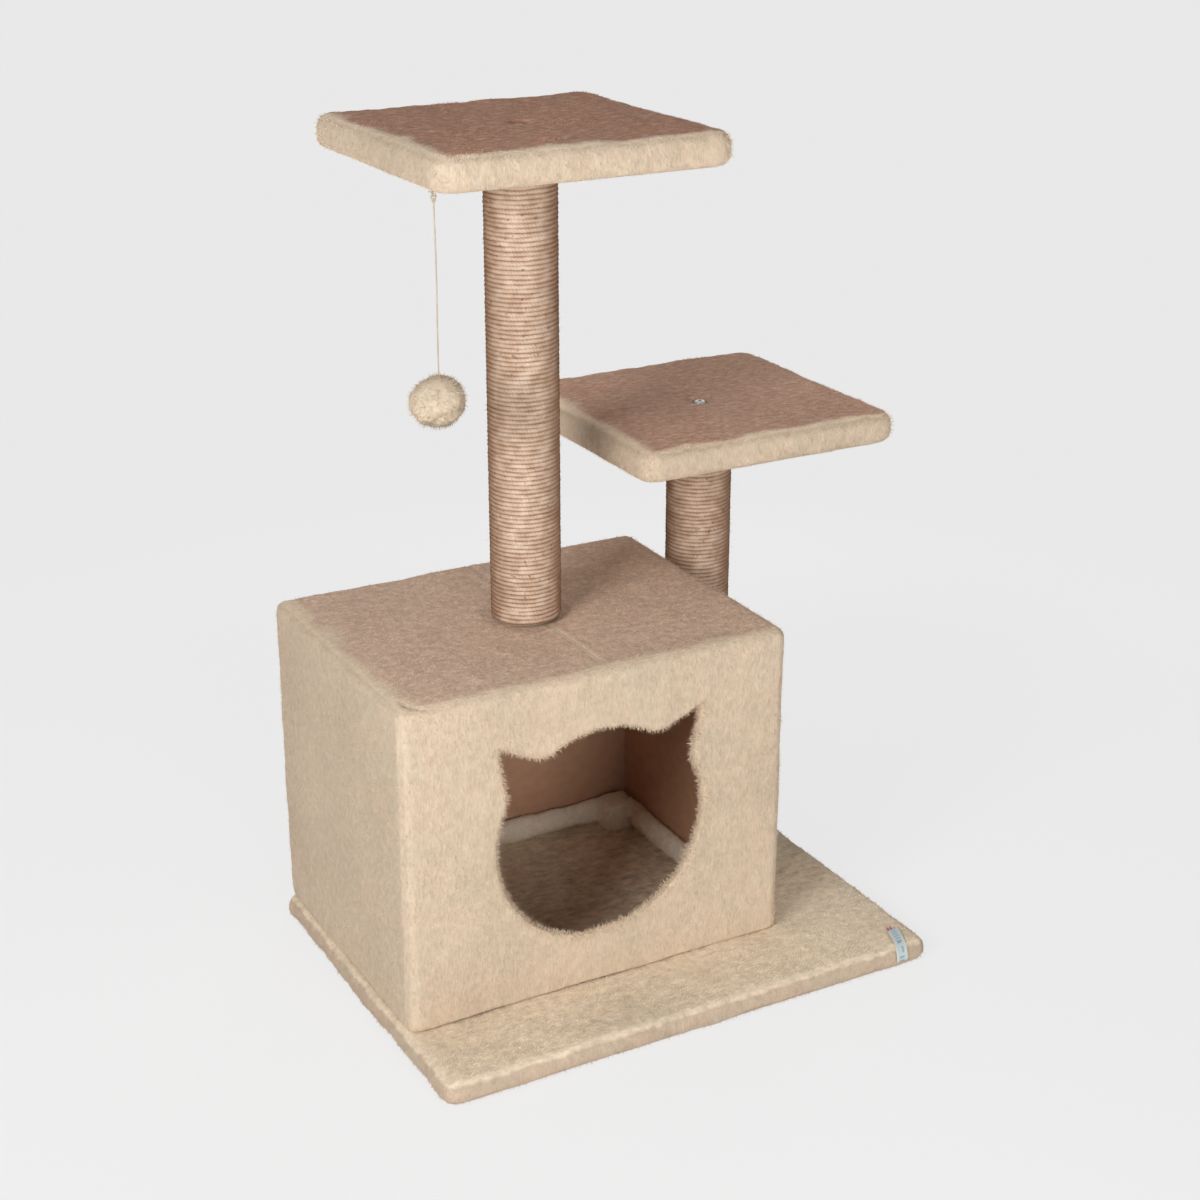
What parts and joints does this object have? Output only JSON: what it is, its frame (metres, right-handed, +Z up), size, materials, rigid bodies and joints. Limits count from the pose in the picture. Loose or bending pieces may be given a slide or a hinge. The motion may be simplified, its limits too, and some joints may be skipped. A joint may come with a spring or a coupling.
{
  "type": "cat tree",
  "caption": "Plush-covered cat tree with a house on the base, a cat-head entrance, rope scratching posts, raised platforms and a ball hanging on a cord.",
  "frame": {"origin": "middle of the base's underside, on the floor", "axes": "+X to the right towards the short post, -Y to the front where the entrance is, +Z up"},
  "size_m": [0.697, 0.5598, 0.936],
  "materials": {
    "plush": "short cream plush, soft and matt",
    "long_plush": "longer cream plush, taupe where it lies flat",
    "tag": "woven ribbon",
    "rope": "natural fibre rope",
    "cord": "twisted cotton cord",
    "chipboard": "raw chipboard",
    "hardboard": "raw brown hardboard",
    "pine": "raw pine",
    "tube": "wound cardboard",
    "steel": "zinc-plated steel",
    "ball_core": "light foam"
  },
  "bodies": {
    "tree": {"base_board": "chipboard", "base_cover": "plush", "base_staples": "steel", "label_tag": "tag", "corner_blocks": "pine", "block_screws": "steel", "front_wall": "hardboard", "back_wall": "hardboard", "left_wall": "hardboard", "right_wall": "hardboard", "roof_panel": "chipboard", "front_cover": "plush", "back_cover": "plush", "left_cover": "plush", "right_cover": "plush", "hem_staples": "steel", "tall_post_tube": "tube", "tall_post_rope": "rope", "tall_post_top_plug": "pine", "tall_post_bottom_plug": "pine", "tall_post_inserts": "steel", "tall_post_bolts": "steel", "tall_post_washers": "steel", "short_post_tube": "tube", "short_post_rope": "rope", "short_post_top_plug": "pine", "short_post_bottom_plug": "pine", "short_post_inserts": "steel", "short_post_bolts": "steel", "short_post_washers": "steel", "top_platform_board": "chipboard", "top_platform_cover": "long_plush", "top_platform_staples": "steel", "side_platform_board": "chipboard", "side_platform_cover": "long_plush", "side_platform_staples": "steel", "toy_staple": "steel"},
    "toy_link": {"toy_loop": "cord"},
    "toy": {"toy_knot": "cord", "toy_cord": "cord", "toy_ball_core": "ball_core", "toy_ball_cover": "plush"}
  },
  "joints": [
    {"name": "toy_swing_fore", "type": "hinge", "parent": "tree", "child": "toy_link", "pos_m": [-0.211, -0.0565, 0.89763], "axis": [1, 0, 0], "range_deg": [-60, 25]},
    {"name": "toy_swing_side", "type": "hinge", "parent": "toy_link", "child": "toy", "pos_m": [-0.211, -0.0565, 0.89318], "axis": [0, 1, 0], "range_deg": [-25, 60]}
  ]
}
